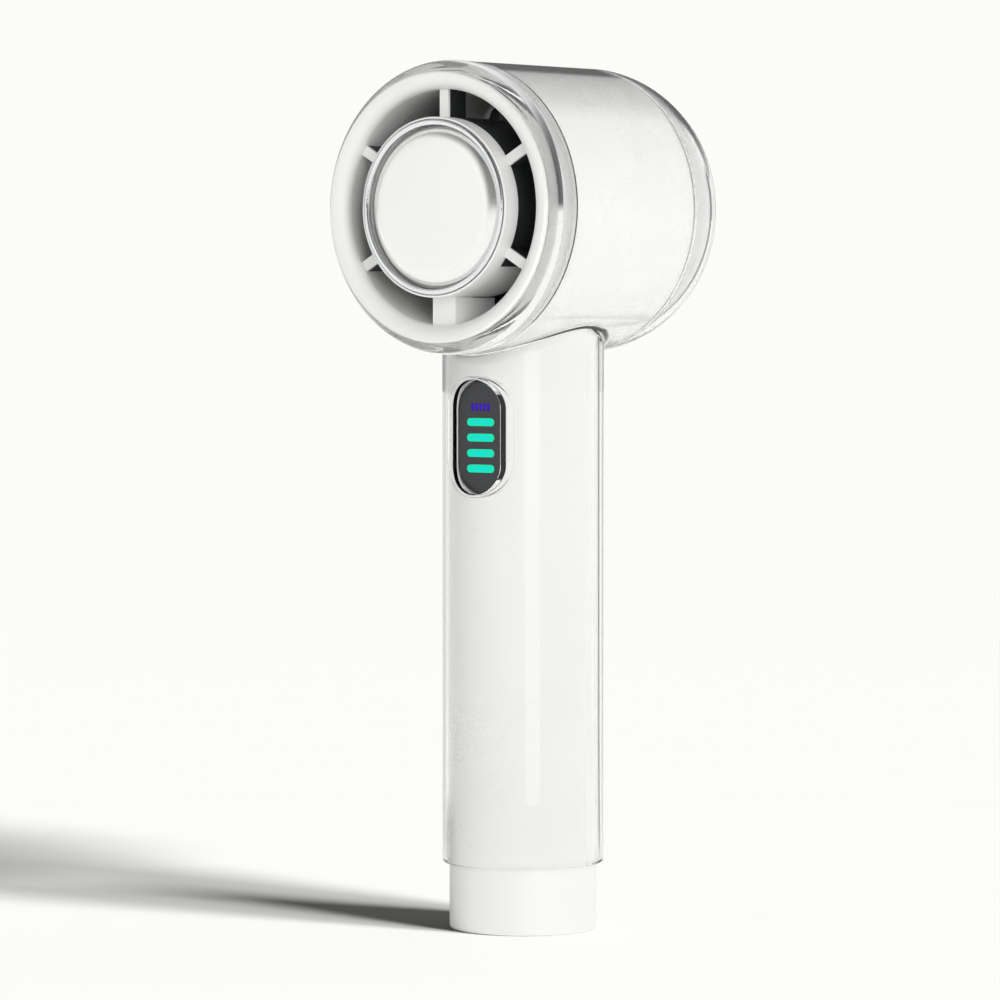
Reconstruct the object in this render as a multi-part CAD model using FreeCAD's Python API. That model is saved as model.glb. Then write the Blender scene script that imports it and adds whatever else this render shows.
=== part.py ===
import FreeCAD, Part
import math
import os

# Handheld electric turbo fan, standing upright on its base.
# Frame: +Z up, origin at the centre of the base's flat underside.
# The fan axis is horizontal, along Y, at height ZC. Air leaves towards -Y.
# Millimetres throughout.

# ---------------------------------------------------------------- dimensions
ZC = 166.7            # height of the fan axis
HEAD_R = 33.3         # outside radius of the clear head
HEAD_F = -24.6        # front edge of the head's straight barrel
HEAD_B = 22.6         # rear edge of the head's straight barrel
WALL = 1.25           # clear wall
LINER_RO = 31.8       # white barrel liner
LINER_RI = 30.5
LIP_R = 30.7          # outlet lip outside radius
LIP_F = -33.25        # outlet lip front plane
DUCT_RI = 26.7        # air duct bore
DUCT_RO = 28.9
HUB_R = 20.4          # outlet hub radius
POD_RI = 19.7         # motor pod bore
VANE_F = -30.0        # guide vanes, front plane
VANE_B = -23.4        # guide vanes, rear plane
VANE_T = 2.4          # guide vane thickness
VANE_SKIN = -29.3     # rear plane of the white vane faces, where the dark vanes begin
SEAM = 0.45           # width of the front seam and its gasket
STRUT_T = 6.4         # wide cable strut thickness
STRUT_B = -15.2       # wide cable strut, rear plane
GRIP_RO = 18.7        # clear handle sleeve
GRIP_RI = 17.45
GRIP_Z0 = 15.5
TUBE_RO = 17.0        # white handle tube
TUBE_RI = 15.4
BASE_R = 17.05        # base
KEY_Z = 114.4         # control key centre height
KEY_W = 13.2          # control key
KEY_H = 26.0
KEY_FACE = -16.3      # control key front plane
KEY_TRAVEL = 0.5
RIM_R = 19.2          # clear rim round the key, outside radius
RIM_W = 18.9
RIM_H = 27.8
SHAFT_R = 1.5
IMP_TIP = 26.2
IMP_HUB = 19.5
N_BLADE = 9
CELL_R = 10.6         # 21700 cell
CELL_L = 70.0

V = FreeCAD.Vector
FAN = V(0, 0, ZC)
YAX = V(0, 1, 0)
ZAX = V(0, 0, 1)
os.makedirs("parts", exist_ok=True)


# ------------------------------------------------------------------- helpers
def save(name, shape):
    if shape.ShapeType in ("Compound", "CompSolid"):
        assert all(s.isValid() for s in shape.Solids), name
        if len(shape.Solids) == 1:
            shape = shape.Solids[0]
    assert shape.isValid() and shape.Solids, name
    shape.exportStep("parts/%s.step" % name)
    print("%-18s %2d solid  %9.1f mm3" % (name, len(shape.Solids), shape.Volume))
    return shape


def lathe(start, steps, place, centre, axis):
    """A solid of revolution. steps: (r, a) for a straight run, (rm, am, r, a) for an arc through (rm, am)."""
    edges, p = [], place(*start)
    for s in list(steps) + [start]:
        if len(s) == 2:
            q = place(*s)
            if (q - p).Length < 1e-6:
                continue
            edges.append(Part.LineSegment(p, q).toShape())
        else:
            q = place(s[2], s[3])
            edges.append(Part.Arc(p, place(s[0], s[1]), q).toShape())
        p = q
    face = Part.Face(Part.Wire(edges))
    return face.revolve(centre, axis, 360)


def rev_y(start, *steps):
    return lathe(start, steps, lambda r, a: V(0, a, ZC + r), FAN, YAX)


def rev_z(start, *steps):
    return lathe(start, steps, lambda r, a: V(r, 0, a), V(0, 0, 0), ZAX)


def cyl_y(r, y0, y1, x=0.0, z=ZC):
    return Part.makeCylinder(r, y1 - y0, V(x, y0, z), YAX)


def cyl_z(r, z0, z1, x=0.0, y=0.0):
    return Part.makeCylinder(r, z1 - z0, V(x, y, z0), ZAX)


def ring_y(ro, ri, y0, y1):
    return cyl_y(ro, y0, y1).cut(cyl_y(ri, y0 - 1, y1 + 1))


def ring_z(ro, ri, z0, z1):
    return cyl_z(ro, z0, z1).cut(cyl_z(ri, z0 - 1, z1 + 1))


def box(x0, x1, y0, y1, z0, z1):
    return Part.makeBox(x1 - x0, y1 - y0, z1 - z0, V(x0, y0, z0))


def spin(shape, deg):
    """Turned about the fan axis; positive goes from +X towards +Z."""
    s = shape.copy()
    s.rotate(FAN, YAX, -deg)
    return s


def radial(r0, r1, y0, y1, width, deg):
    """A bar from radius r0 to r1, of that width, at an angle measured from +X towards +Z."""
    return spin(box(r0, r1, y0, y1, ZC - width / 2, ZC + width / 2), deg)


def stadium(w, h, y0, y1, z=KEY_Z, x=0.0, radius=None):
    """A round-ended slab, w wide and h tall, from y0 to y1."""
    r = min(w, h) / 2 - 1e-4 if radius is None else radius
    b = box(x - w / 2, x + w / 2, y0, y1, z - h / 2, z + h / 2)
    edges = [e for e in b.Edges if abs(e.Vertexes[0].Y - e.Vertexes[1].Y) > 1e-3]
    return b.makeFillet(r, edges)


def pipe(points, r, bend):
    """A round wire along straight runs joined by tangent arcs of radius bend."""
    pts = [V(*p) for p in points]
    edges, p = [], pts[0]
    for a, b, c in zip(pts, pts[1:], pts[2:]):
        u, w = (a - b).normalize(), (c - b).normalize()
        half = u.getAngle(w) / 2
        cut = bend / math.tan(half)
        s, e = b + u * cut, b + w * cut
        mid_dir = (u + w).normalize()
        centre = b + mid_dir * (bend / math.sin(half))
        m = centre - mid_dir * bend
        edges += [Part.LineSegment(p, s).toShape(), Part.Arc(s, m, e).toShape()]
        p = e
    edges.append(Part.LineSegment(p, pts[-1]).toShape())
    path = Part.Wire(edges)
    t = (pts[1] - pts[0]).normalize()
    section = Part.Wire([Part.Circle(pts[0], t, r).toShape()])
    return path.makePipeShell([section], True, False)


def group(shapes):
    return Part.makeCompound([s for x in shapes for s in x.Solids])


# ---------------------------------------------------------------- clear head
head_out = cyl_y(HEAD_R, HEAD_F + SEAM / 2, HEAD_B)
grip_out = cyl_z(GRIP_RO, GRIP_Z0, ZC)
shell = head_out.fuse(grip_out).removeSplitter()
neck = [
    e
    for e in shell.Edges
    if e.BoundBox.ZMin > ZC - HEAD_R - 1
    and e.BoundBox.ZMax < ZC - 20
    and e.BoundBox.XLength > 5
    and e.BoundBox.YLength > 5
    and not isinstance(e.Curve, Part.Circle)
]
try:
    shell = shell.makeFillet(2.6, neck)
except Exception as err:
    print("neck fillet left out:", err)
foot = [
    e
    for e in shell.Edges
    if abs(e.BoundBox.ZMin - GRIP_Z0) < 1e-3 and abs(e.BoundBox.ZMax - GRIP_Z0) < 1e-3
]
shell = shell.makeFillet(0.5, foot)
shell = shell.cut(cyl_y(HEAD_R - WALL, HEAD_F - 1, HEAD_B + 1))
shell = shell.cut(cyl_z(GRIP_RI, GRIP_Z0 - 1, ZC))
rim = stadium(RIM_W, RIM_H, -30, -5, radius=8.6).common(cyl_z(RIM_R, KEY_Z - 20, KEY_Z + 20))
crest = [
    e for e in rim.Edges
    if all(abs(math.hypot(v.X, v.Y) - RIM_R) < 1e-3 for v in e.Vertexes) and e.Length > 0.5
]
rim = rim.makeFillet(0.45, crest)
rim = rim.cut(cyl_z(TUBE_RO + 0.12, KEY_Z - 21, KEY_Z + 21))
shell = shell.cut(stadium(RIM_W - 1, RIM_H - 1, -30, -5, radius=8.1)).fuse(rim)
shell = shell.cut(stadium(KEY_W + 0.5, KEY_H + 0.5, -31, -4))
shell = shell.removeSplitter()
save("clear_shell", shell)

front_ring = rev_y(
    (LIP_R + 0.03, HEAD_F - SEAM / 2),
    (HEAD_R, HEAD_F - SEAM / 2),
    (HEAD_R, -27.4),
    (32.75, -30.3, 31.35, -31.75),
    (LIP_R + 0.03, -32.0),
)
save("front_ring", front_ring)
save("front_gasket", ring_y(HEAD_R - 0.12, HEAD_R - 1.3, HEAD_F - SEAM / 2 + 0.02, HEAD_F + SEAM / 2 - 0.02))

rear_cover = rev_y(
    (HEAD_R - 1.35, HEAD_B + 0.05),
    (HEAD_R, HEAD_B + 0.05),
    (32.55, 29.2, 30.5, 34.2),
    (30.15, 34.85, 29.4, 35.0),
    (28.9, 35.0),
    (28.9, 34.3),
    (31.2, 29.0, HEAD_R - 1.35, HEAD_B + 0.05),
)
save("rear_cover", rear_cover)

# ----------------------------------------------------- white barrel and duct
liner = ring_y(LINER_RO, LINER_RI, HEAD_F + 0.2, HEAD_B - 0.2)
liner = liner.cut(cyl_z(TUBE_RI, ZC - 40, ZC)).cut(box(-2.6, 2.6, -16.7, -10, ZC - 33, ZC - 29))
save("barrel_liner", liner)

bezel = rev_y(
    (LIP_R, HEAD_F - 0.05),
    (LIP_R, LIP_F + 0.5),
    (LIP_R - 0.15, LIP_F + 0.15, LIP_R - 0.5, LIP_F),
    (LIP_R - 0.62, LIP_F),
    (DUCT_RI + 0.99, LIP_F + 0.83, DUCT_RI, -30.4),
    (DUCT_RI, -30.1),
    (DUCT_RO + 0.25, -30.1),
    (DUCT_RO + 0.25, HEAD_F - 0.05),
)
save("front_bezel", bezel)

duct = rev_y(
    (DUCT_RI, -22.4),
    (DUCT_RI, 14.0),
    (28.2, 18.2, 29.6, 21.0),
    (LINER_RI - 0.1, 21.0),
    (LINER_RI - 0.1, 19.6),
    (29.3, 17.0, DUCT_RO, 13.6),
    (DUCT_RO, -21.2),
    (LINER_RI - 0.1, -21.2),
    (LINER_RI - 0.1, -22.4),
)
duct = duct.cut(box(-2.4, 2.4, -19.0, -12.5, ZC - 32, ZC - 26))
save("air_duct", duct)

# outlet guide: hub band, spigot, five thin vanes, one wide cable strut, outer ring
band = ring_y(HUB_R, 18.9, -33.0, VANE_SKIN).fuse(
    rev_y((HUB_R, -32.9), (HUB_R, -33.85), (HUB_R - 0.08, -34.02, HUB_R - 0.25, -34.05), (19.95, -34.05), (19.95, -32.9))
)
spigot = ring_y(19.6, 18.2, -29.3, VANE_B)
outer = ring_y(DUCT_RO, DUCT_RI, VANE_F, -22.5)
guide = band.fuse([spigot, ring_y(18.95, 18.2, -30.6, -29.3), outer])
web = ring_y(18.9, 2.4, -30.6, -29.6)
guide = guide.fuse(web)
vanes = [radial(18.8, DUCT_RI + 0.4, VANE_F, VANE_SKIN, VANE_T, a) for a in (30, 90, 150, 210, 330)]
strut = radial(18.8, DUCT_RI + 0.4, VANE_F, VANE_B, STRUT_T, 270)
strut2 = radial(HUB_R + 0.02, DUCT_RI - 0.05, VANE_B - 0.1, STRUT_B, STRUT_T, 270)
strut2 = strut2.common(cyl_y(DUCT_RI - 0.04, -24, -15)).cut(box(-2.2, 2.2, -18.8, STRUT_B - 1.2, ZC - 30, ZC - 15))
guide = guide.fuse(vanes + [strut, strut2])
for a in (60, 180, 300):
    guide = guide.cut(cyl_y(1.15, -32, -28, 14.5 * math.cos(math.radians(a)), ZC + 14.5 * math.sin(math.radians(a))))
guide = guide.removeSplitter()
save("outlet_guide", guide)

# hub front
hub_cap = rev_y(
    (0, -35.0),
    (7.5, -34.96, 14.2, -34.85),
    (16.63, -34.14, 18.3, -32.25),
    (18.42, -32.0, 18.45, -31.8),
    (18.45, -31.2),
    (17.0, -31.2),
    (15.2, -32.3),
    (0, -32.3),
)
hub_cap = hub_cap.fuse([radial(15.6, 17.4, -32.2, -30.65, 3.0, a) for a in (0, 120, 240)])
save("hub_cap", hub_cap)
trim = rev_y(
    (18.6, -33.02),
    (18.6, -34.1),
    (18.72, -34.37, 18.95, -34.47),
    (19.2, -34.52, 19.45, -34.45),
    (19.66, -34.3, 19.74, -34.05),
    (19.74, -33.02),
)
save("hub_trim_ring", trim)

# motor pod (dark) with vane slots, and the white cover over the leads' exit
pod = ring_y(HUB_R, POD_RI, VANE_SKIN + 0.04, -14.6).fuse(cyl_y(POD_RI + 0.1, -16.1, -14.6))
pod = pod.fuse(ring_y(POD_RI + 0.1, 18.4, -22.9, -21.8))
pod = pod.cut(cyl_y(4.97, -18, -13))
for a in (90, 210, 330):
    pod = pod.cut(cyl_y(0.62, -18, -13, 7 * math.cos(math.radians(a)), ZC + 7 * math.sin(math.radians(a))))


def sector_between(lo, hi, r, y0, y1):
    """A wedge about the fan axis from angle lo to hi."""
    p = [V(0, y0, ZC)]
    n = 8
    for i in range(n + 1):
        t = math.radians(lo + (hi - lo) * i / n)
        p.append(V(r * math.cos(t), y0, ZC + r * math.sin(t)))
    p.append(p[0])
    return Part.Face(Part.makePolygon(p)).extrude(V(0, y1 - y0, 0))


low = sector_between(-139, -41, 40, -30, -16.1)
skin = ring_y(HUB_R, POD_RI, VANE_SKIN + 0.04, -16.2)
cover = skin.common(sector_between(-138.7, -41.3, 40, -30, -16.2)).cut(
    box(-STRUT_T / 2 - 0.1, STRUT_T / 2 + 0.1, -31, VANE_B + 0.1, ZC - 25, ZC - 15)
)
cover = cover.cut(box(-2.2, 2.2, -18.8, -16.0, ZC - 25, ZC - 15))
pod_low = ring_y(HUB_R + 1, POD_RI - 0.05, -30, -16.15).common(low)
pod = pod.cut(pod_low)
pod = pod.cut(box(-2.2, 2.2, -18.8, -16.1, ZC - 25, ZC - 15))
pod = pod.fuse([radial(POD_RI + 0.2, DUCT_RI - 0.04, VANE_SKIN + 0.04, VANE_B, VANE_T, a) for a in (30, 90, 150, 210, 330)])
pod = pod.cut(ring_y(40, DUCT_RI - 0.04, -40, 0))
save("motor_pod", pod)
save("cable_cover", cover)

# ------------------------------------------------------------------- motor
base = rev_y(
    (9.0, -17.4), (9.0, -16.15), (4.92, -16.15), (4.92, -1.6), (4.02, -1.6), (4.02, -5.0),
    (3.5, -5.0), (3.5, -13.8), (4.02, -13.8), (4.02, -17.4),
)
for a in (90, 210, 330):
    base = base.cut(cyl_y(0.62, -18, -13, 7 * math.cos(math.radians(a)), ZC + 7 * math.sin(math.radians(a))))
save("motor_base", base)
for name, y0 in (("front_bearing", -16.85), ("rear_bearing", -4.95)):
    b = ring_y(4.0, SHAFT_R + 0.02, y0, y0 + 3.0)
    groove = ring_y(3.3, 2.2, y0 - 0.1, y0 + 0.25).fuse(ring_y(3.3, 2.2, y0 + 2.75, y0 + 3.1))
    save(name, b.cut(groove))
core = ring_y(6.4, 4.96, -12.6, -5.6)
coils = []
for i in range(9):
    a = i * 40.0
    core = core.fuse(radial(6.2, 10.3, -12.6, -5.6, 1.9, a))
    shoe = ring_y(11.2, 10.1, -12.6, -5.6).common(sector_between(a - 15, a + 15, 20, -13, -5))
    core = core.fuse(shoe)
    coils.append(radial(6.9, 9.82, -13.5, -4.7, 3.7, a).cut(radial(6.0, 10.5, -12.64, -5.56, 1.94, a)))
save("stator_core", core.removeSplitter())
save("stator_coils", group(coils))
save("magnet_ring", ring_y(13.0, 11.5, -13.0, -5.0))
cup = rev_y(
    (13.05, -13.3), (13.9, -13.3), (13.9, 0.0), (1.5, 0.0), (1.5, -0.9), (13.05, -0.9),
)
cup = cup.cut(group([cyl_y(1.4, -2, 1, 8 * math.cos(math.radians(a)), ZC + 8 * math.sin(math.radians(a))) for a in range(0, 360, 60)]))
save("rotor_cup", cup)
save("motor_shaft", cyl_y(SHAFT_R, -18.9, 3.0).cut(ring_y(2, SHAFT_R - 0.3, -18.2, -17.6)))
clip = ring_y(2.9, SHAFT_R - 0.25, -18.15, -17.65).cut(box(-1.0, 1.0, -19, -17, ZC, ZC + 4))
save("shaft_clip", clip)
mboard = ring_y(14.5, 4.6, -21.0, -20.0)
for a in (60, 180, 300):
    mboard = mboard.cut(cyl_y(2.4, -22, -19, 14.5 * math.cos(math.radians(a)), ZC + 14.5 * math.sin(math.radians(a))))
save("motor_board", mboard)
chips = [box(-3, 3, -22.2, -21.0, ZC + 7, ZC + 12), box(-12, -8, -22.0, -21.0, ZC - 3, ZC + 1),
         box(8, 11, -21.9, -21.0, ZC - 3, ZC + 2)]
save("motor_board_parts", group(chips))
posts = []
for a in (60, 180, 300):
    x, z = 14.5 * math.cos(math.radians(a)), ZC + 14.5 * math.sin(math.radians(a))
    posts.append(cyl_y(1.1, -30.6, -24.0, x, z).fuse(cyl_y(2.1, -31.3, -30.65, x, z)))
standoffs = []
for a in (60, 180, 300):
    x, z = 14.5 * math.cos(math.radians(a)), ZC + 14.5 * math.sin(math.radians(a))
    standoffs.append(cyl_y(2.2, -29.55, -16.12, x, z).cut(cyl_y(1.15, -30, -22.5, x, z)))
save("pod_screws", group(posts))
save("pod_posts", group(standoffs))
mscrews = []
for a in (90, 210, 330):
    x, z = 7 * math.cos(math.radians(a)), ZC + 7 * math.sin(math.radians(a))
    mscrews.append(cyl_y(0.58, -17.4, -14.7, x, z).fuse(cyl_y(1.15, -18.2, -17.42, x, z)))
save("motor_screws", group(mscrews))

# ----------------------------------------------------------------- impeller
def hub_r(y):
    """Outside radius of the impeller hub."""
    if y <= -4:
        return IMP_HUB
    t = (y + 4) / 20.0
    return max(0.5, IMP_HUB * math.sqrt(max(0.0, 1 - t * t)) * 0.93 + IMP_HUB * 0.07 * (1 - t))


pts = [V(0, y, ZC + hub_r(y)) for y in (-4, -1, 2, 5, 8, 11, 13.5, 15)]
curve = Part.BSplineCurve()
curve.interpolate(pts, InitialTangent=V(0, 1, 0), FinalTangent=V(0, 0.25, -1))
prof = [
    Part.LineSegment(V(0, -14.0, ZC + 15.6), V(0, -14.0, ZC + IMP_HUB)).toShape(),
    Part.LineSegment(V(0, -14.0, ZC + IMP_HUB), V(0, -4.0, ZC + IMP_HUB)).toShape(),
    curve.toShape(),
]
nose_r = hub_r(15)
prof += [
    Part.LineSegment(V(0, 15, ZC + nose_r), V(0, 15.6, ZC)).toShape(),
    Part.LineSegment(V(0, 15.6, ZC), V(0, 3.3, ZC)).toShape(),
    Part.LineSegment(V(0, 3.3, ZC), V(0, 3.3, ZC + 2.5)).toShape(),
    Part.LineSegment(V(0, 3.3, ZC + 2.5), V(0, 0.1, ZC + 2.5)).toShape(),
    Part.LineSegment(V(0, 0.1, ZC + 2.5), V(0, 0.1, ZC + 13.96)).toShape(),
    Part.LineSegment(V(0, 0.1, ZC + 13.96), V(0, -14.0, ZC + 13.96)).toShape(),
    Part.LineSegment(V(0, -14.0, ZC + 13.96), V(0, -14.0, ZC + 15.6)).toShape(),
]
hub = Part.Face(Part.Wire(prof)).revolve(FAN, YAX, 360)
hub = hub.cut(ring_y(18.0, 15.4, -15.0, -5.0))
blades = []
Y0, Y1, TWIST = -13.2, 8.5, 52.0
for i in range(N_BLADE):
    wires = []
    for k in range(7):
        y = Y0 + (Y1 - Y0) * k / 6
        s = (k / 6.0)
        ang = 360.0 / N_BLADE * i + TWIST * (0.35 * s + 0.65 * s * s)
        rin = max(3.0, hub_r(y) - 1.0)
        rout = IMP_TIP - (0 if k < 6 else 0.8)
        th = 0.55 + 0.25 * math.sin(math.pi * min(1, s + 0.15))
        q = [V(rin, y, ZC - th), V(rout, y, ZC - th * 0.7), V(rout, y, ZC + th * 0.7), V(rin, y, ZC + th)]
        w = Part.makePolygon(q + [q[0]])
        w.rotate(FAN, YAX, -ang)
        wires.append(w)
    blades.append(Part.makeLoft(wires, True, True))
impeller = hub.fuse(blades)
save("impeller", impeller)

# -------------------------------------------------------------- rear grille
basket = rev_y(
    (31.75, HEAD_B + 0.3), (30.95, 29.0, 28.75, 34.0), (27.6, 34.0), (27.6, 31.6),
    (29.3, 28.6, 30.55, HEAD_B + 0.3),
)
plate = ring_y(27.9, 26.4, 31.2, 33.4).fuse(ring_y(8.2, 7.0, 31.0, 33.6)).fuse(cyl_y(7.2, 31.6, 33.0))
for r in (11.6, 15.9, 20.2, 24.0):
    plate = plate.fuse(ring_y(r + 0.6, r - 0.6, 31.4, 33.0))
ribs = []
for i in range(18):
    rib = box(7.6, 27.0, 31.4, 33.0, ZC - 0.5, ZC + 0.5)
    rib.rotate(V(7.6, 31.4, ZC), YAX, -24)
    rib = rib.common(cyl_y(27.2, 31, 34))
    ribs.append(spin(rib, i * 20.0))
plate = plate.fuse(ribs)
save("rear_grille", basket.fuse(plate).removeSplitter())

# ------------------------------------------------------------------- handle
tube = ring_z(TUBE_RO, TUBE_RI, GRIP_Z0, ZC - 20)
tube = tube.cut(cyl_y(LINER_RO + 0.06, -40, 40))
tube = tube.cut(stadium(KEY_W + 0.6, KEY_H + 0.6, -30, -5))
save("handle_tube", tube)

foot_cap = rev_z(
    (0, 0), (BASE_R - 0.7, 0), (BASE_R - 0.2, 0.2, BASE_R, 0.7), (BASE_R, 15.4), (TUBE_RI - 0.08, 15.4),
    (TUBE_RI - 0.08, 21.0), (13.8, 21.0), (13.8, 2.0), (0, 2.0),
)
port = stadium(9.5, 3.7, 10, 20, z=8.0)
foot_cap = foot_cap.cut(port).fuse([cyl_z(1.8, 1.9, 4.98, x, y) for x in (-6.5, 6.5) for y in (-1.0, 8.5)])
save("base_cap", foot_cap)

# control key with its light windows and the switch plunger behind it
key = stadium(KEY_W, KEY_H, KEY_FACE, -14.4)
rim = [e for e in key.Edges if all(abs(v.Y - KEY_FACE) < 1e-3 for v in e.Vertexes)]
key = key.makeFillet(0.45, rim)
key = key.fuse(box(-3, 3, -14.9, -14.4, KEY_Z - 14.3, KEY_Z + 14.3))
BARS = [117.8, 114.25, 110.7, 107.15]
windows = [stadium(7.7, 1.75, KEY_FACE - 0.02, -14.6, z=z) for z in BARS]
slots = [stadium(7.8, 1.85, KEY_FACE - 1, -14.6, z=z) for z in BARS]
DISP = [(-2.3, 1.0), (-1.15, 1.0), (0.0, 1.0), (1.15, 1.0), (2.3, 1.0)]
dwin = [stadium(0.72, 1.8, KEY_FACE - 0.02, -14.6, z=121.3, x=x) for x, _ in DISP]
dslot = [stadium(0.82, 1.9, KEY_FACE - 1, -14.6, z=121.3, x=x) for x, _ in DISP]
for s in slots + dslot:
    key = key.cut(s)
save("control_key", key)
save("level_bars", group(windows))
save("speed_display", group(dwin))
PLZ = 104.0
save("switch_plunger", cyl_y(0.95, -14.4, -13.25, 0, PLZ))
sw = box(-2.4, 2.4, -13.84, -12.6, PLZ - 2.4, PLZ + 2.4).cut(cyl_y(1.05, -15, -12, 0, PLZ))
save("tact_switch", sw)

# electronics and battery
save("control_board", box(-8.6, 8.6, -12.6, -11.4, 97.0, 134.0))
leds = [box(-2.2, 2.2, -13.4, -12.6, z - 0.6, z + 0.6) for z in BARS + [121.3]]
parts = leds + [box(-3.5, 3.5, -11.4, -10.2, 118, 125), box(-6, -1, -11.4, -8.6, 104, 109),
                box(1.5, 6.5, -11.4, -9.4, 103, 108), box(-2, 2, -11.4, -10.4, 128, 131)]
save("board_parts", group(parts))

CELL_Y = 2.6
cell = cyl_z(CELL_R, 24.6, 24.6 + CELL_L - 1.0, 0, CELL_Y).fuse(cyl_z(4.6, 24.5 + CELL_L - 1.0, 24.6 + CELL_L, 0, CELL_Y))
save("battery_cell", cell)
tabs = box(-3, 3, CELL_Y - 3, CELL_Y + 3, 94.65, 94.85).fuse(box(-3, 3, CELL_Y - 12.2, CELL_Y - 2.9, 94.65, 94.85))
low_tab = box(-3, 3, CELL_Y - 3, CELL_Y + 3, 24.3, 24.5).fuse(box(-3, 3, CELL_Y - 12.2, CELL_Y - 2.9, 24.3, 24.5))
save("battery_tabs", group([tabs, low_tab]))
cradle = ring_z(15.2, 13.6, 22.0, 134.0).common(box(-16, 16, -4.0, 16, 20, 140))
cradle = cradle.fuse(cyl_z(15.2, 22.0, 23.8)).fuse(cyl_z(15.2, 95.4, 96.8))
cradle = cradle.cut(box(-9, 9, -15.3, -8.0, 20, 96.9)).cut(box(-4, 4, CELL_Y - 12.4, CELL_Y + 4, 22.5, 23.0))
cradle = cradle.cut(box(-14, 14, -16, -11.3, 95, 135))
cradle = cradle.fuse(box(-13.9, -8.9, -4.3, -2.9, 96, 134)).fuse(box(8.9, 13.9, -4.3, -2.9, 96, 134))
save("battery_cradle", cradle.removeSplitter())
save("foam_pad", cyl_z(9.5, 23.85, 24.25, 0, CELL_Y).cut(box(-3.2, 3.2, -12, 6.0, 23, 25)))

usb = stadium(8.94, 3.2, 9.4, 16.9, z=8.0).cut(stadium(8.3, 2.56, 10.2, 18, z=8.0))
usb = usb.fuse(box(-3.3, 3.3, 10.0, 15.9, 7.65, 8.35))
save("usb_c_socket", usb)
save("charge_board", box(-8.4, 8.4, -3.0, 10.7, 5.0, 6.2).cut(box(-4.6, 4.6, 9.3, 13, 4, 7)))
cp = [box(-6, -3, 3.5, 6.5, 6.2, 7.2), box(2, 6, 3.0, 7.0, 6.2, 8.0)]
save("charge_board_parts", group(cp))

lead = []
for x in (-1.25, 0.0, 1.25):
    lead.append(pipe([(x, -19.97, ZC - 10.6), (x, -17.75, ZC - 10.6), (x, -17.75, ZC - 27.0), (x, -12.0, ZC - 36.5), (x, -12.0, 134.05)], 0.42, 1.9))
save("motor_leads", group(lead))
blead = []
for x in (-6.0, 6.0):
    blead.append(pipe([(x, -13.15, 98.6), (x, -13.15, 91.0), (x, -11.9, 84.0), (x, -11.9, 30.0), (x, -9.0, 10.0), (x, -5.5, 5.6), (x, -3.05, 5.6)], 0.5, 1.6))
save("charge_leads", group(blead))
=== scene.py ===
import math

import bmesh
import bpy
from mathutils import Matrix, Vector

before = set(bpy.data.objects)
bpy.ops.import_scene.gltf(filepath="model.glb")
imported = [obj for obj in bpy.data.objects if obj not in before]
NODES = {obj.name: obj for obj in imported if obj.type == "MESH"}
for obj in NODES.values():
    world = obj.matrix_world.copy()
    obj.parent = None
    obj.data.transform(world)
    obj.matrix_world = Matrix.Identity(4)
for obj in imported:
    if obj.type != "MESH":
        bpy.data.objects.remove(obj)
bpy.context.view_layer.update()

scene = bpy.context.scene
ZC = 0.1667

scene.view_settings.view_transform = "Standard"
scene.view_settings.look = "None"
scene.view_settings.exposure = 0.0
scene.view_settings.gamma = 1.0


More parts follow.
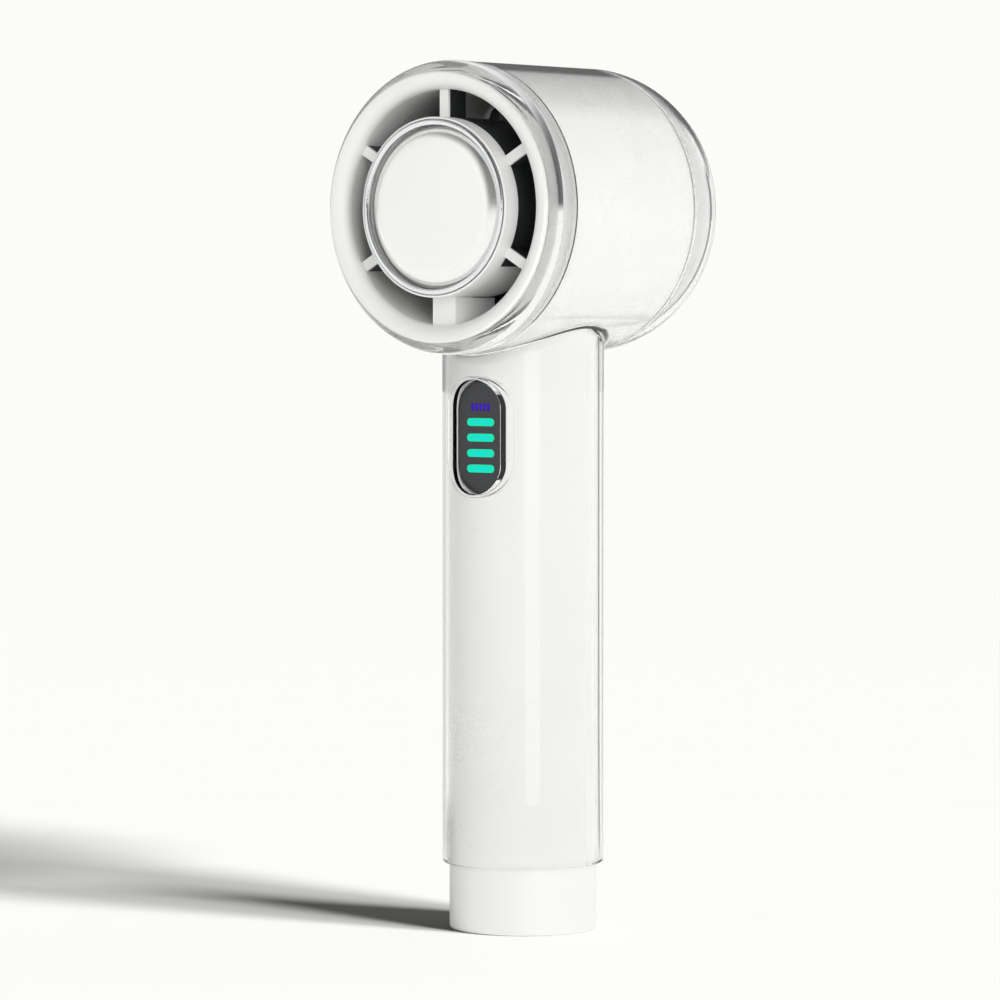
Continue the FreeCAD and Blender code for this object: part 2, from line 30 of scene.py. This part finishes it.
# ------------------------------------------------------------ shader helpers
class Mat:
    """A small wrapper for writing node materials in code."""

    def __init__(self, name):
        self.m = bpy.data.materials.new(name)
        self.m.use_nodes = True
        self.t = self.m.node_tree
        self.t.nodes.clear()
        self.out = self.t.nodes.new("ShaderNodeOutputMaterial")
        self.coord = None

    def n(self, kind, **kw):
        node = self.t.nodes.new(kind)
        for k, v in kw.items():
            setattr(node, k, v)
        return node

    def l(self, a, b):
        self.t.links.new(a, b)

    def obj(self):
        if self.coord is None:
            self.coord = self.n("ShaderNodeTexCoord")
        return self.coord.outputs["Object"]

    def noise(self, scale, detail=3.0, rough=0.5, stretch=None, distortion=0.0):
        src = self.obj()
        if stretch is not None:
            mp = self.n("ShaderNodeMapping")
            mp.inputs["Scale"].default_value = stretch
            self.l(src, mp.inputs["Vector"])
            src = mp.outputs["Vector"]
        t = self.n("ShaderNodeTexNoise")
        t.inputs["Scale"].default_value = scale
        t.inputs["Detail"].default_value = detail
        t.inputs["Roughness"].default_value = rough
        t.inputs["Distortion"].default_value = distortion
        self.l(src, t.inputs["Vector"])
        return t.outputs["Fac"]

    def ramp(self, fac, stops):
        r = self.n("ShaderNodeValToRGB")
        e = r.color_ramp.elements
        while len(e) < len(stops):
            e.new(0.5)
        for el, (p, c) in zip(e, stops):
            el.position = p
            el.color = (c[0], c[1], c[2], 1.0) if hasattr(c, "__len__") else (c, c, c, 1.0)
        self.l(fac, r.inputs["Fac"])
        return r.outputs["Color"]

    def math(self, op, a, b=None, c=None, clamp=False):
        x = self.n("ShaderNodeMath", operation=op, use_clamp=clamp)
        for i, v in enumerate((a, b, c)):
            if v is None:
                continue
            if isinstance(v, (int, float)):
                x.inputs[i].default_value = v
            else:
                self.l(v, x.inputs[i])
        return x.outputs[0]

    def range(self, v, a, b, c, d):
        r = self.n("ShaderNodeMapRange")
        for i, x in zip((1, 2, 3, 4), (a, b, c, d)):
            r.inputs[i].default_value = x
        self.l(v, r.inputs[0])
        return r.outputs[0]

    def bump(self, height, strength, distance, base=None):
        b = self.n("ShaderNodeBump")
        b.inputs["Strength"].default_value = strength
        b.inputs["Distance"].default_value = distance
        self.l(height, b.inputs["Height"])
        if base is not None:
            self.l(base, b.inputs["Normal"])
        return b.outputs["Normal"]

    def principled(self, **kw):
        p = self.n("ShaderNodeBsdfPrincipled")
        for k, v in kw.items():
            k = k.replace("_", " ")
            if isinstance(v, bpy.types.NodeSocket):
                self.l(v, p.inputs[k])
            else:
                p.inputs[k].default_value = v
        self.l(p.outputs[0], self.out.inputs["Surface"])
        self.p = p
        return p


def rgb(r, g, b):
    return (r, g, b, 1.0)


# ------------------------------------------------------------------ materials
def clear_plastic(name, tint=(0.998, 0.998, 0.997), rough=0.01, ior=1.49):
    """Polished clear plastic. Light passes through it to what lies behind."""
    m = Mat(name)
    wipe = m.noise(22.0, 4.0, 0.6)
    fine = m.noise(900.0, 2.0, 0.5)
    mix = m.math("MULTIPLY_ADD", wipe, 0.7, m.math("MULTIPLY", fine, 0.3))
    r = m.range(mix, 0.3, 0.75, rough, rough + 0.02)
    nrm = m.bump(m.noise(34.0, 1.0, 0.3), 0.02, 0.00005)
    p = m.principled(
        Base_Color=rgb(*tint), Roughness=r, IOR=ior, Transmission_Weight=1.0, Normal=nrm
    )
    lp = m.n("ShaderNodeLightPath")
    tr = m.n("ShaderNodeBsdfTransparent")
    tr.inputs["Color"].default_value = rgb(0.995, 0.995, 0.995)
    mx = m.n("ShaderNodeMixShader")
    m.l(lp.outputs["Is Shadow Ray"], mx.inputs[0])
    m.l(p.outputs[0], mx.inputs[1])
    m.l(tr.outputs[0], mx.inputs[2])
    m.l(mx.outputs[0], m.out.inputs["Surface"])
    return m.m


def moulded(name, colour, rough, grain=2600.0, grain_h=0.00002, grain_s=0.25, spread=0.03, ior=1.5, **kw):
    """Moulded plastic: spark-eroded grain, slight flow variation in colour and gloss."""
    m = Mat(name)
    cloud = m.noise(28.0, 4.0, 0.55)
    c0 = [max(0.0, c * (1 - spread)) for c in colour]
    c1 = [min(1.0, c * (1 + spread)) for c in colour]
    col = m.ramp(cloud, [(0.35, c0), (0.65, c1)])
    g = m.noise(grain, 3.0, 0.6)
    r = m.range(m.math("MULTIPLY_ADD", cloud, 0.6, m.math("MULTIPLY", g, 0.4)), 0.35, 0.65, rough - 0.04, rough + 0.05)
    nrm = m.bump(g, grain_s, grain_h)
    m.principled(Base_Color=col, Roughness=r, Normal=nrm, IOR=ior, **kw)
    return m.m


def metal(name, colour, rough, brush=None, **kw):
    m = Mat(name)
    if brush is None:
        g = m.noise(1500.0, 3.0, 0.6)
    else:
        g = m.noise(1.0, 3.0, 0.6, stretch=brush)
    cloud = m.noise(80.0, 3.0, 0.5)
    col = m.ramp(cloud, [(0.3, [c * 0.92 for c in colour]), (0.7, [min(1, c * 1.05) for c in colour])])
    r = m.range(g, 0.3, 0.7, max(0.02, rough - 0.05), rough + 0.07)
    nrm = m.bump(g, 0.15, 0.00001)
    m.principled(Base_Color=col, Metallic=1.0, Roughness=r, Normal=nrm, **kw)
    return m.m


def radial_brushed(name, colour, rough):
    """Turned metal: rings about the fan axis."""
    m = Mat(name)
    sep = m.n("ShaderNodeSeparateXYZ")
    m.l(m.obj(), sep.inputs[0])
    z = m.math("SUBTRACT", sep.outputs[2], ZC)
    r2 = m.math("SQRT", m.math("ADD", m.math("POWER", sep.outputs[0], 2.0), m.math("POWER", z, 2.0)))
    w = m.n("ShaderNodeTexNoise", noise_dimensions="1D")
    w.inputs["Scale"].default_value = 9000.0
    w.inputs["Detail"].default_value = 2.0
    m.l(r2, w.inputs["W"])
    nrm = m.bump(w.outputs["Fac"], 0.15, 0.00001)
    r = m.range(w.outputs["Fac"], 0.3, 0.7, rough, rough + 0.08)
    cloud = m.noise(60.0, 2.0, 0.5)
    col = m.ramp(cloud, [(0.3, [c * 0.95 for c in colour]), (0.7, colour)])
    m.principled(Base_Color=col, Metallic=1.0, Roughness=r, Normal=nrm)
    return m.m


def printed_ring(name, radius, soft):
    """A thin white ring with a black outer edge, seen as a line in the seam."""
    m = Mat(name)
    sep = m.n("ShaderNodeSeparateXYZ")
    m.l(m.obj(), sep.inputs[0])
    z = m.math("SUBTRACT", sep.outputs[2], ZC)
    rr = m.math("SQRT", m.math("ADD", m.math("POWER", sep.outputs[0], 2.0), m.math("POWER", z, 2.0)))
    edge = m.range(rr, radius - soft, radius + soft, 0.0, 1.0)
    edge = m.math("ADD", edge, m.range(m.noise(1500.0), 0.3, 0.7, -0.04, 0.04), clamp=True)
    col = m.ramp(edge, [(0.0, (0.85, 0.85, 0.84)), (1.0, (0.012, 0.012, 0.013))])
    nrm = m.bump(m.noise(2400.0), 0.2, 0.00001)
    m.principled(Base_Color=col, Roughness=m.range(m.noise(300.0), 0.3, 0.7, 0.4, 0.5), Normal=nrm)
    return m.m


def lamp(name, centre, edge, strength, z_rows, half_h):
    """A lit window: brighter and cooler in the middle of each bar than at its edges."""
    m = Mat(name)
    sep = m.n("ShaderNodeSeparateXYZ")
    m.l(m.obj(), sep.inputs[0])
    best = None
    for z in z_rows:
        d = m.math("ABSOLUTE", m.math("SUBTRACT", sep.outputs[2], z))
        best = d if best is None else m.math("MINIMUM", best, d)
    v = m.math("DIVIDE", best, half_h)
    hx = m.math("DIVIDE", m.math("ABSOLUTE", sep.outputs[0]), 0.0039)
    hx = m.math("POWER", hx, 3.0)
    v = m.math("MAXIMUM", m.math("POWER", v, 2.0), hx, clamp=True)
    speck = m.noise(1800.0, 2.0, 0.5)
    v = m.math("ADD", v, m.range(speck, 0.3, 0.7, -0.06, 0.06), clamp=True)
    col = m.ramp(v, [(0.0, centre), (1.0, edge)])
    dark = m.ramp(v, [(0.0, [c * 0.03 for c in centre]), (1.0, [c * 0.03 for c in edge])])
    m.principled(Base_Color=dark, Roughness=0.35, Specular_IOR_Level=0.15, Emission_Color=col, Emission_Strength=strength)
    return m.m


M = {}
M["clear"] = clear_plastic("clear_plastic")
M["clear_thick"] = clear_plastic("clear_plastic_thick", tint=(0.994, 0.996, 0.995))
# one white plastic in lit and shaded copies: the parts behind the clear shell are 0.94, while the directly lit
# matte-white and base parts are painted darker (0.72-0.74) as painted shade, so both come out equally bright
M["gloss_white"] = moulded("gloss_white", (0.94, 0.937, 0.93), 0.3, grain=1400.0, grain_h=0.00001, grain_s=0.1, spread=0.01)
M["drum_white"] = moulded("drum_white", (0.94, 0.937, 0.93), 0.28, grain=2200.0, grain_h=0.00001, grain_s=0.12, spread=0.01)
M["matte_white"] = moulded("matte_white", (0.74, 0.737, 0.73), 0.42, grain=3200.0, grain_h=0.00003, grain_s=0.25, spread=0.012)
M["base_white_dimmed"] = moulded("base_white_dimmed", (0.72, 0.717, 0.71), 0.4, grain=3000.0, grain_h=0.00002, grain_s=0.2, spread=0.01)
M["satin_white"] = moulded("satin_silver", (0.93, 0.93, 0.92), 0.22, grain=4200.0, grain_h=0.00001, grain_s=0.15, spread=0.01, Metallic=0.9)
M["charcoal"] = moulded("charcoal_plastic", (0.016, 0.018, 0.019), 0.38, grain=2600.0, spread=0.15)
M["impeller"] = moulded("impeller_plastic", (0.02, 0.022, 0.024), 0.32, grain=2000.0, spread=0.15)
M["cradle"] = moulded("cradle_plastic", (0.12, 0.12, 0.12), 0.5, spread=0.08)
M["chrome"] = metal("chrome_trim", (0.86, 0.87, 0.88), 0.07)
M["steel"] = metal("bright_steel", (0.62, 0.62, 0.61), 0.2)
M["turned"] = radial_brushed("turned_steel", (0.62, 0.62, 0.61), 0.18)
M["lamination"] = metal("lamination_steel", (0.3, 0.3, 0.31), 0.4, brush=(60, 6000, 60))
M["aluminium"] = metal("cast_aluminium", (0.66, 0.66, 0.66), 0.42)
M["black_steel"] = metal("black_steel", (0.06, 0.06, 0.062), 0.35)
M["copper"] = metal("enamelled_copper", (0.75, 0.34, 0.16), 0.28, brush=(400, 3500, 400))
M["magnet"] = metal("magnet", (0.14, 0.14, 0.15), 0.45)
M["nickel"] = metal("nickel_strip", (0.7, 0.67, 0.6), 0.25, brush=(4000, 4000, 80))
M["board"] = moulded("circuit_board", (0.02, 0.16, 0.07), 0.28, grain=900.0, spread=0.12)
M["chip"] = moulded("chip_plastic", (0.02, 0.02, 0.021), 0.45, grain=3000.0, spread=0.1)
M["cell"] = moulded("cell_wrap", (0.05, 0.22, 0.42), 0.25, grain=500.0, spread=0.06)
M["gasket"] = printed_ring("gasket", 0.03292, 0.00008)
M["foam"] = moulded("foam", (0.04, 0.04, 0.04), 0.9, grain=1800.0, grain_h=0.0002, grain_s=0.8, spread=0.2)
M["lead"] = moulded("lead_insulation", (0.5, 0.03, 0.03), 0.4, grain=1200.0, spread=0.08)
M["key"] = moulded("key_black", (0.011, 0.012, 0.015), 0.32, grain=5200.0, grain_h=0.000012, grain_s=0.2, spread=0.08, Coat_Weight=0.3, Coat_Roughness=0.08)
BARS = [0.1178, 0.11425, 0.1107, 0.10715]
M["teal"] = lamp("light_teal", (0.0, 0.72, 0.60), (0.0, 0.80, 0.40), 1.0, BARS, 0.00088)
M["violet"] = lamp("light_violet", (0.045, 0.004, 0.52), (0.02, 0.0, 0.22), 1.0, [0.1213], 0.0009)

ASSIGN = {
    "clear_shell": "clear", "front_ring": "clear_thick", "rear_cover": "clear", "front_gasket": "gasket",
    "barrel_liner": "drum_white", "handle_tube": "gloss_white", "front_bezel": "matte_white",
    "outlet_guide": "matte_white", "air_duct": "matte_white", "cable_cover": "matte_white",
    "rear_grille": "matte_white", "base_cap": "base_white_dimmed", "hub_cap": "satin_white", "hub_trim_ring": "chrome",
    "motor_pod": "charcoal", "impeller": "impeller", "pod_posts": "charcoal", "battery_cradle": "cradle",
    "motor_base": "aluminium", "rotor_cup": "turned", "motor_shaft": "steel", "shaft_clip": "steel",
    "front_bearing": "turned", "rear_bearing": "turned", "stator_core": "lamination", "stator_coils": "copper",
    "magnet_ring": "magnet", "pod_screws": "black_steel", "motor_screws": "black_steel",
    "motor_board": "board", "control_board": "board", "charge_board": "board",
    "motor_board_parts": "chip", "board_parts": "chip", "charge_board_parts": "chip", "tact_switch": "chip",
    "battery_cell": "cell", "battery_tabs": "nickel", "foam_pad": "foam", "usb_c_socket": "steel",
    "motor_leads": "lead", "charge_leads": "lead", "control_key": "key", "level_bars": "teal",
    "speed_display": "violet", "switch_plunger": "chip",
}


def node_object(name):
    o = NODES[name]
    return o if isinstance(o, bpy.types.Object) else bpy.data.objects[name]


for name in list(NODES):
    o = node_object(name)
    mat = M[ASSIGN[name]]
    if len(o.material_slots) == 0:
        o.data.materials.append(mat)
    for s in o.material_slots:
        s.material = mat


# ----------------------------------------------------------------------- stage
def stage_floor():
    bm = bmesh.new()
    rings, seg = [0.0, 0.25, 0.6, 1.2, 2.5, 6.0], 64
    prev = None
    for r in rings:
        if r == 0:
            cur = [bm.verts.new((0, 0, 0))]
        else:
            cur = [bm.verts.new((r * math.cos(2 * math.pi * k / seg), r * math.sin(2 * math.pi * k / seg), 0)) for k in range(seg)]
        if prev is not None:
            for k in range(seg):
                a, b = cur[k], cur[(k + 1) % seg]
                if len(prev) == 1:
                    bm.faces.new((prev[0], a, b))
                else:
                    bm.faces.new((prev[k], a, b, prev[(k + 1) % seg]))
        prev = cur
    me = bpy.data.meshes.new("studio_floor")
    bm.to_mesh(me)
    bm.free()
    o = bpy.data.objects.new("studio_floor", me)
    scene.collection.objects.link(o)
    m = Mat("studio_paper")
    grain = m.noise(700.0, 3.0, 0.6)
    col = m.ramp(grain, [(0.3, (0.1785, 0.1795, 0.1752)), (0.7, (0.1815, 0.1825, 0.1782))])
    d = m.n("ShaderNodeBsdfDiffuse")
    m.l(col, d.inputs["Color"])
    e = m.n("ShaderNodeEmission")
    e.inputs["Color"].default_value = BACK
    sep = m.n("ShaderNodeVectorMath", operation="LENGTH")
    m.l(m.obj(), sep.inputs[0])
    fade = m.range(sep.outputs["Value"], 0.3, 1.3, 0.0, 1.0)
    mx = m.n("ShaderNodeMixShader")
    m.l(fade, mx.inputs[0])
    m.l(d.outputs[0], mx.inputs[1])
    m.l(e.outputs[0], mx.inputs[2])
    # painted shade: the world's black cards (two narrow, one wide and lighter) carry on over the floor, painted as
    # near-black emission from 0.1-0.2 m out that only rays through the clear parts see, drawing dark lines along the
    # edges of the clear parts
    xyz = m.n("ShaderNodeSeparateXYZ")
    m.l(m.obj(), xyz.inputs[0])
    az = m.math("ARCTAN2", xyz.outputs[0], m.math("MULTIPLY", xyz.outputs[1], -1.0))
    turn = m.math("ADD", az, m.math("MULTIPLY", m.math("LESS_THAN", az, 0.0), 2 * math.pi))
    painted_card_shade = None
    for a0, a1, depth in CARDS:
        c = m.math("MULTIPLY", m.range(turn, math.radians(a0 - 1.5), math.radians(a0), 0.0, depth), m.range(turn, math.radians(a1), math.radians(a1 + 1.5), 1.0, 0.0))
        painted_card_shade = c if painted_card_shade is None else m.math("ADD", painted_card_shade, c, clamp=True)
    lp = m.n("ShaderNodeLightPath")
    painted_card_shade = m.math("MULTIPLY", painted_card_shade, lp.outputs["Is Transmission Ray"])
    painted_card_shade = m.math("MULTIPLY", painted_card_shade, m.range(sep.outputs["Value"], 0.10, 0.2, 0.0, 1.0))
    # near-black emission of the painted card shade on the floor
    black = m.n("ShaderNodeEmission")
    black.inputs["Color"].default_value = (0.05, 0.05, 0.05, 1.0)
    mc = m.n("ShaderNodeMixShader")
    m.l(painted_card_shade, mc.inputs[0])
    m.l(mx.outputs[0], mc.inputs[1])
    m.l(black.outputs[0], mc.inputs[2])
    m.l(mc.outputs[0], m.out.inputs["Surface"])
    me.materials.append(m.m)
    return o


BACK = (0.968, 0.973, 0.950, 1.0)
PAPER = 0.95
# black cards of the world (start and end azimuth in degrees, depth); the floor repeats them as painted shade, seen
# only through the clear parts
CARDS = ((179.5, 184.5, 0.95), (205.0, 209.5, 0.92), (219.0, 246.0, 0.38))
WALL_LEFT = 0.62
WALL_RIGHT = 0.92
floor = stage_floor()


# ----------------------------------------------------------------------- world
def studio_world():
    """A white studio: white paper behind at low heights, darker walls above it, a soft box to the left front and a
    black flag to the right.
    """
    w = bpy.data.worlds.new("studio")
    scene.world = w
    w.use_nodes = True
    t = w.node_tree
    t.nodes.clear()
    out = t.nodes.new("ShaderNodeOutputWorld")
    tc = t.nodes.new("ShaderNodeTexCoord")
    sep = t.nodes.new("ShaderNodeSeparateXYZ")
    t.links.new(tc.outputs["Generated"], sep.inputs[0])

    def mth(op, a, b=None, clamp=False):
        x = t.nodes.new("ShaderNodeMath")
        x.operation = op
        x.use_clamp = clamp
        for i, v in enumerate((a, b)):
            if v is None:
                continue
            if isinstance(v, (int, float)):
                x.inputs[i].default_value = v
            else:
                t.links.new(v, x.inputs[i])
        return x.outputs[0]

    def smooth(v, a, b, lo, hi):
        r = t.nodes.new("ShaderNodeMapRange")
        r.interpolation_type = "SMOOTHSTEP"
        for i, x in zip((1, 2, 3, 4), (a, b, lo, hi)):
            r.inputs[i].default_value = x
        t.links.new(v, r.inputs[0])
        return r.outputs[0]

    X, Y, Z = sep.outputs[0], sep.outputs[1], sep.outputs[2]
    az = mth("ARCTAN2", X, mth("MULTIPLY", Y, -1.0))  # 0 at -Y, positive towards +X, radians

    # white paper from the right rear round to the left rear
    deg = math.radians
    paper = smooth(mth("ABSOLUTE", az), deg(134), deg(139), 0.0, 1.0)
    # a dark opening behind to the left, from just above the horizon up to about 24 degrees of elevation
    turn = mth("ADD", az, mth("MULTIPLY", mth("LESS_THAN", az, 0.0), 2 * math.pi))
    hole = mth("MULTIPLY", smooth(turn, deg(186), deg(192), 0.0, 1.0), smooth(turn, deg(240), deg(262), 1.0, 0.0))
    hole = mth("MULTIPLY", hole, mth("MULTIPLY", smooth(Z, 0.10, 0.125, 0.0, 1.0), smooth(Z, 0.375, 0.405, 1.0, 0.0)))
    # grey walls; the ceiling falls away to dark towards the front
    wall = mth("ADD", mth("MULTIPLY", smooth(az, deg(-60), deg(40), 0.0, 1.0), WALL_RIGHT - WALL_LEFT), WALL_LEFT)
    # a soft box to the left front, which the hub disc mirrors
    box = mth("MULTIPLY", smooth(az, deg(-78), deg(-58), 0.0, 1.0), smooth(az, deg(-8), deg(12), 1.0, 0.0))
    wall = mth("ADD", wall, mth("MULTIPLY", box, 0.27))
    wall = mth("MULTIPLY", wall, smooth(Z, 0.45, 0.9, 1.0, 0.22))
    both = mth("ADD", mth("MULTIPLY", paper, PAPER), mth("MULTIPLY", wall, mth("SUBTRACT", 1.0, paper)))
    both = mth("MULTIPLY", both, mth("SUBTRACT", 1.0, mth("MULTIPLY", hole, 0.84)))
    veil = mth("MULTIPLY", smooth(turn, deg(168), deg(188), 0.0, 1.0), smooth(turn, deg(235), deg(262), 1.0, 0.0))
    veil = mth("MULTIPLY", veil, mth("MULTIPLY", smooth(Z, 0.36, 0.40, 0.0, 1.0), smooth(Z, 0.58, 0.72, 1.0, 0.0)))
    both = mth("MULTIPLY", both, mth("SUBTRACT", 1.0, mth("MULTIPLY", veil, 0.6)))
    # two narrow black cards behind, which draw the dark lines along the edges of the clear parts
    low = mth("MULTIPLY", smooth(Z, -0.3, -0.22, 0.0, 1.0), smooth(Z, 0.14, 0.22, 1.0, 0.0))
    for a0, a1, depth in CARDS:
        card = mth("MULTIPLY", smooth(turn, deg(a0 - 1.5), deg(a0), 0.0, depth), smooth(turn, deg(a1), deg(a1 + 1.5), 1.0, 0.0))
        both = mth("MULTIPLY", both, mth("SUBTRACT", 1.0, mth("MULTIPLY", card, low)))
    # a black flag to the right, which shades the right edges of the polished parts
    flag = mth("MULTIPLY", smooth(az, deg(-14), deg(24), 0.0, 1.0), smooth(az, deg(82), deg(94), 1.0, 0.0))
    flag = mth("MULTIPLY", flag, smooth(Z, -0.04, 0.06, 0.0, 1.0))
    both = mth("MULTIPLY", both, mth("SUBTRACT", 1.0, mth("MULTIPLY", flag, 0.86)))

    env = t.nodes.new("ShaderNodeBackground")
    env.inputs["Color"].default_value = (1.0, 1.0, 0.99, 1.0)
    t.links.new(both, env.inputs["Strength"])
    cam = t.nodes.new("ShaderNodeBackground")
    cam.inputs["Color"].default_value = BACK
    lp = t.nodes.new("ShaderNodeLightPath")
    mx = t.nodes.new("ShaderNodeMixShader")
    t.links.new(lp.outputs["Is Camera Ray"], mx.inputs[0])
    t.links.new(env.outputs[0], mx.inputs[1])
    t.links.new(cam.outputs[0], mx.inputs[2])
    t.links.new(mx.outputs[0], out.inputs["Surface"])


studio_world()


# ---------------------------------------------------------------------- lights
def direction(azimuth, elevation):
    """Unit vector from the object towards a light. Azimuth 0 is -Y, 90 is +X."""
    a, e = math.radians(azimuth), math.radians(elevation)
    return Vector((math.sin(a) * math.cos(e), -math.cos(a) * math.cos(e), math.sin(e)))


def add_sun(name, azimuth, elevation, strength, angle):
    d = bpy.data.lights.new(name, "SUN")
    d.energy = strength
    d.angle = math.radians(angle)
    o = bpy.data.objects.new(name, d)
    scene.collection.objects.link(o)
    o.rotation_euler = direction(azimuth, elevation).to_track_quat("Z", "Y").to_euler()
    return o


def add_panel(name, azimuth, elevation, distance, size, energy, target=(0, 0, 0.11)):
    d = bpy.data.lights.new(name, "AREA")
    d.shape = "RECTANGLE"
    d.size, d.size_y = size
    d.energy = energy
    o = bpy.data.objects.new(name, d)
    scene.collection.objects.link(o)
    v = direction(azimuth, elevation)
    o.location = Vector(target) + v * distance
    o.rotation_euler = v.to_track_quat("Z", "Y").to_euler()
    return o


def only(light, objects, name):
    """The light reaches just these objects; everything still casts its shadow."""
    c = bpy.data.collections.new(name)
    for o in objects:
        c.objects.link(o)
    light.light_linking.receiver_collection = c


FLOOR_SUN, KEY, FILL, BOUNCE = 15.6, 22.0, 1.8, 6.5
floor_suns = []
for k, (az, el, share, angle) in enumerate(((81, 36, 0.5, 11), (96, 36, 0.5, 11))):
    sun = add_sun("floor_key_%d" % k, az, el, FLOOR_SUN * share / math.sin(math.radians(el)), angle)
    only(sun, [floor], "floor_only_%d" % k)
    floor_suns.append(sun)
parts = [node_object(n) for n in NODES]
key = add_panel("key_panel", 56, 10, 1.5, (0.9, 1.6), KEY)
only(key, parts, "object_only_key")
key.visible_glossy = False
key.visible_transmission = False
fill = add_panel("left_panel", -38, 6, 1.5, (1.1, 1.6), FILL)
only(fill, parts, "object_only_fill")
fill.visible_glossy = False
fill.visible_transmission = False
bounce = add_panel("bounce_panel", 84, -28, 1.2, (1.2, 0.8), BOUNCE)
only(bounce, parts, "object_only_bounce")
sheen = add_panel("sheen_panel", 50, 0, 0.3, (0.11, 0.36), 0.14, target=(0, 0, 0.165))
only(sheen, [node_object(n) for n in ("handle_tube", "clear_shell", "base_cap")], "handle_only_sheen")
sheen.visible_diffuse = False
sheen.visible_transmission = False
sheen.visible_camera = False
blockers = bpy.data.collections.new("bounce_blockers")
for o in parts:
    blockers.objects.link(o)
bounce.light_linking.blocker_collection = blockers
bounce.visible_glossy = False
bounce.visible_transmission = False


# ---------------------------------------------------------------------- camera
cam_data = bpy.data.cameras.new("camera")
cam_data.sensor_width = 36.0
cam_data.lens = 172.74
cam_data.clip_start = 0.05
cam_data.clip_end = 50.0
cam_data.dof.use_dof = False
cam = bpy.data.objects.new("camera", cam_data)
scene.collection.objects.link(cam)
cam.location = (0.661234, -0.893303, 0.147606)
look = Vector((-0.004252, -0.003179, 0.099412)) - cam.location
cam.rotation_euler = look.to_track_quat("-Z", "Y").to_euler()
scene.camera = cam

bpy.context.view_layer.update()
